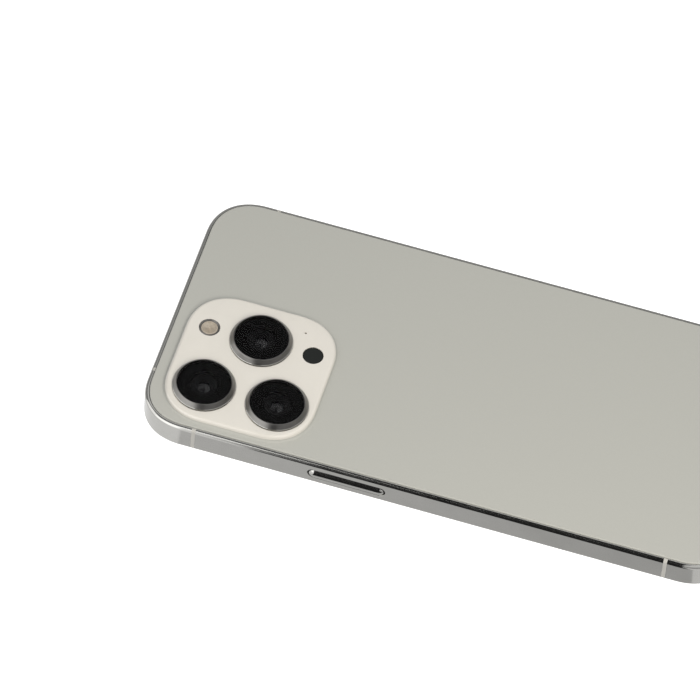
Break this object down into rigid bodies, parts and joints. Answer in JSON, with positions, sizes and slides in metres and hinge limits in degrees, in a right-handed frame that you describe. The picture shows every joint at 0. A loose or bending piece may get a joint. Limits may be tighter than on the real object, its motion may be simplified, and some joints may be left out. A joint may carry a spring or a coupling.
{
  "type": "smartphone",
  "caption": "Smartphone with a flat-sided steel frame, matte glass back and a raised glass plateau that carries the rear cameras, flash and range sensor.",
  "frame": {"origin": "centre of the display face, which the phone lies on", "axes": "+Z out of the back glass, +Y to the camera end, +X right when the back is seen with the cameras at the top"},
  "size_m": [0.0724, 0.1466, 0.0108],
  "materials": {
    "frame_steel": "stainless steel, polished bright",
    "antenna_plastic": "moulded glass-filled polymer, satin",
    "back_glass": "back-painted glass, etched matte, glossy on the camera plateau",
    "ring_steel": "stainless steel, dark and polished",
    "cover_glass": "sapphire over a black mask, glossy",
    "flash_window": "clear lens over a cream phosphor",
    "sensor_window": "dark infrared-pass window",
    "mesh_steel": "woven acoustic mesh, dark",
    "display_glass": "cover glass, glossy black when off",
    "black_film": "black foam and film",
    "bright_steel": "stamped stainless steel",
    "nickel": "nickel-plated contacts and shells",
    "black_plastic": "moulded black polymer",
    "aluminium_plate": "blasted aluminium sheet",
    "copper_coil": "enamelled copper",
    "ferrite": "flexible ferrite sheet",
    "magnet": "nickel-plated magnet",
    "battery_wrap": "laminated foil, black",
    "adhesive": "stretch-release adhesive strip",
    "circuit_board": "solder-masked laminate",
    "flex_film": "polyimide flex film",
    "tungsten": "sintered tungsten alloy",
    "led_phosphor": "yellow phosphor",
    "lens_black": "black barrel with coated glass"
  },
  "bodies": {
    "handset": {"frame_band": "frame_steel", "antenna_breaks": "antenna_plastic", "back_glass": "back_glass", "lens_ring_upper": "ring_steel", "lens_ring_lower": "ring_steel", "lens_ring_middle": "ring_steel", "lens_cover_upper": "cover_glass", "lens_cover_lower": "cover_glass", "lens_cover_middle": "cover_glass", "flash_cover": "flash_window", "range_sensor_cover": "sensor_window", "rear_mic_mesh": "mesh_steel", "display_glass": "display_glass", "display_gasket": "black_film", "display_panel": "black_film", "display_shield": "bright_steel", "bottom_screws": "bright_steel", "charge_port_shell": "nickel", "charge_port_tongue": "black_plastic", "grille_meshes": "mesh_steel", "earpiece_mesh": "mesh_steel", "chassis_plate": "aluminium_plate", "charging_coil": "copper_coil", "coil_shield": "ferrite", "magnet_ring": "magnet", "battery": "battery_wrap", "battery_adhesive": "adhesive", "logic_board": "circuit_board", "upper_board": "circuit_board", "board_interposer": "circuit_board", "board_shield": "nickel", "board_screws": "bright_steel", "sim_reader": "nickel", "side_button_flex": "flex_film", "volume_flex": "flex_film", "ring_switch_block": "black_plastic", "haptic_case": "bright_steel", "haptic_springs": "bright_steel", "loudspeaker": "black_plastic", "earpiece": "black_plastic", "front_camera": "lens_black", "face_sensor": "lens_black", "camera_bracket": "bright_steel", "camera_upper": "lens_black", "camera_lower": "lens_black", "camera_middle": "lens_black", "range_sensor": "lens_black", "flash_led": "led_phosphor", "charge_flex": "flex_film", "display_cable": "flex_film"},
    "side_button": {"side_button": "frame_steel"},
    "volume_up_button": {"volume_up_button": "frame_steel"},
    "volume_down_button": {"volume_down_button": "frame_steel"},
    "ring_switch": {"ring_switch": "frame_steel"},
    "sim_tray": {"sim_tray": "frame_steel"},
    "haptic_mass": {"haptic_mass": "tungsten"},
    "lens_barrel_upper": {"lens_barrel_upper": "lens_black"},
    "lens_barrel_lower": {"lens_barrel_lower": "lens_black"},
    "lens_barrel_middle": {"lens_barrel_middle": "lens_black"}
  },
  "joints": [
    {"name": "side_button_press", "type": "slide", "parent": "handset", "child": "side_button", "axis": [1, 0, 0], "range_m": [0, 0.00025], "stiffness_N_per_m": 600},
    {"name": "volume_up_press", "type": "slide", "parent": "handset", "child": "volume_up_button", "axis": [-1, 0, 0], "range_m": [0, 0.00025], "stiffness_N_per_m": 600},
    {"name": "volume_down_press", "type": "slide", "parent": "handset", "child": "volume_down_button", "axis": [-1, 0, 0], "range_m": [0, 0.00025], "stiffness_N_per_m": 600},
    {"name": "ring_switch_slide", "type": "slide", "parent": "handset", "child": "ring_switch", "axis": [0, 0, 1], "range_m": [0, 0.0011]},
    {"name": "sim_tray_slide", "type": "slide", "parent": "handset", "child": "sim_tray", "axis": [1, 0, 0], "range_m": [0, 0.022]},
    {"name": "haptic_shake", "type": "slide", "parent": "handset", "child": "haptic_mass", "axis": [1, 0, 0], "range_m": [-0.0005, 0.0005], "stiffness_N_per_m": 2600},
    {"name": "focus_upper", "type": "slide", "parent": "handset", "child": "lens_barrel_upper", "axis": [0, 0, 1], "range_m": [0, 0.0003], "stiffness_N_per_m": 400},
    {"name": "focus_lower", "type": "slide", "parent": "handset", "child": "lens_barrel_lower", "axis": [0, 0, 1], "range_m": [0, 0.0003], "stiffness_N_per_m": 400},
    {"name": "focus_middle", "type": "slide", "parent": "handset", "child": "lens_barrel_middle", "axis": [0, 0, 1], "range_m": [0, 0.0003], "stiffness_N_per_m": 400}
  ]
}
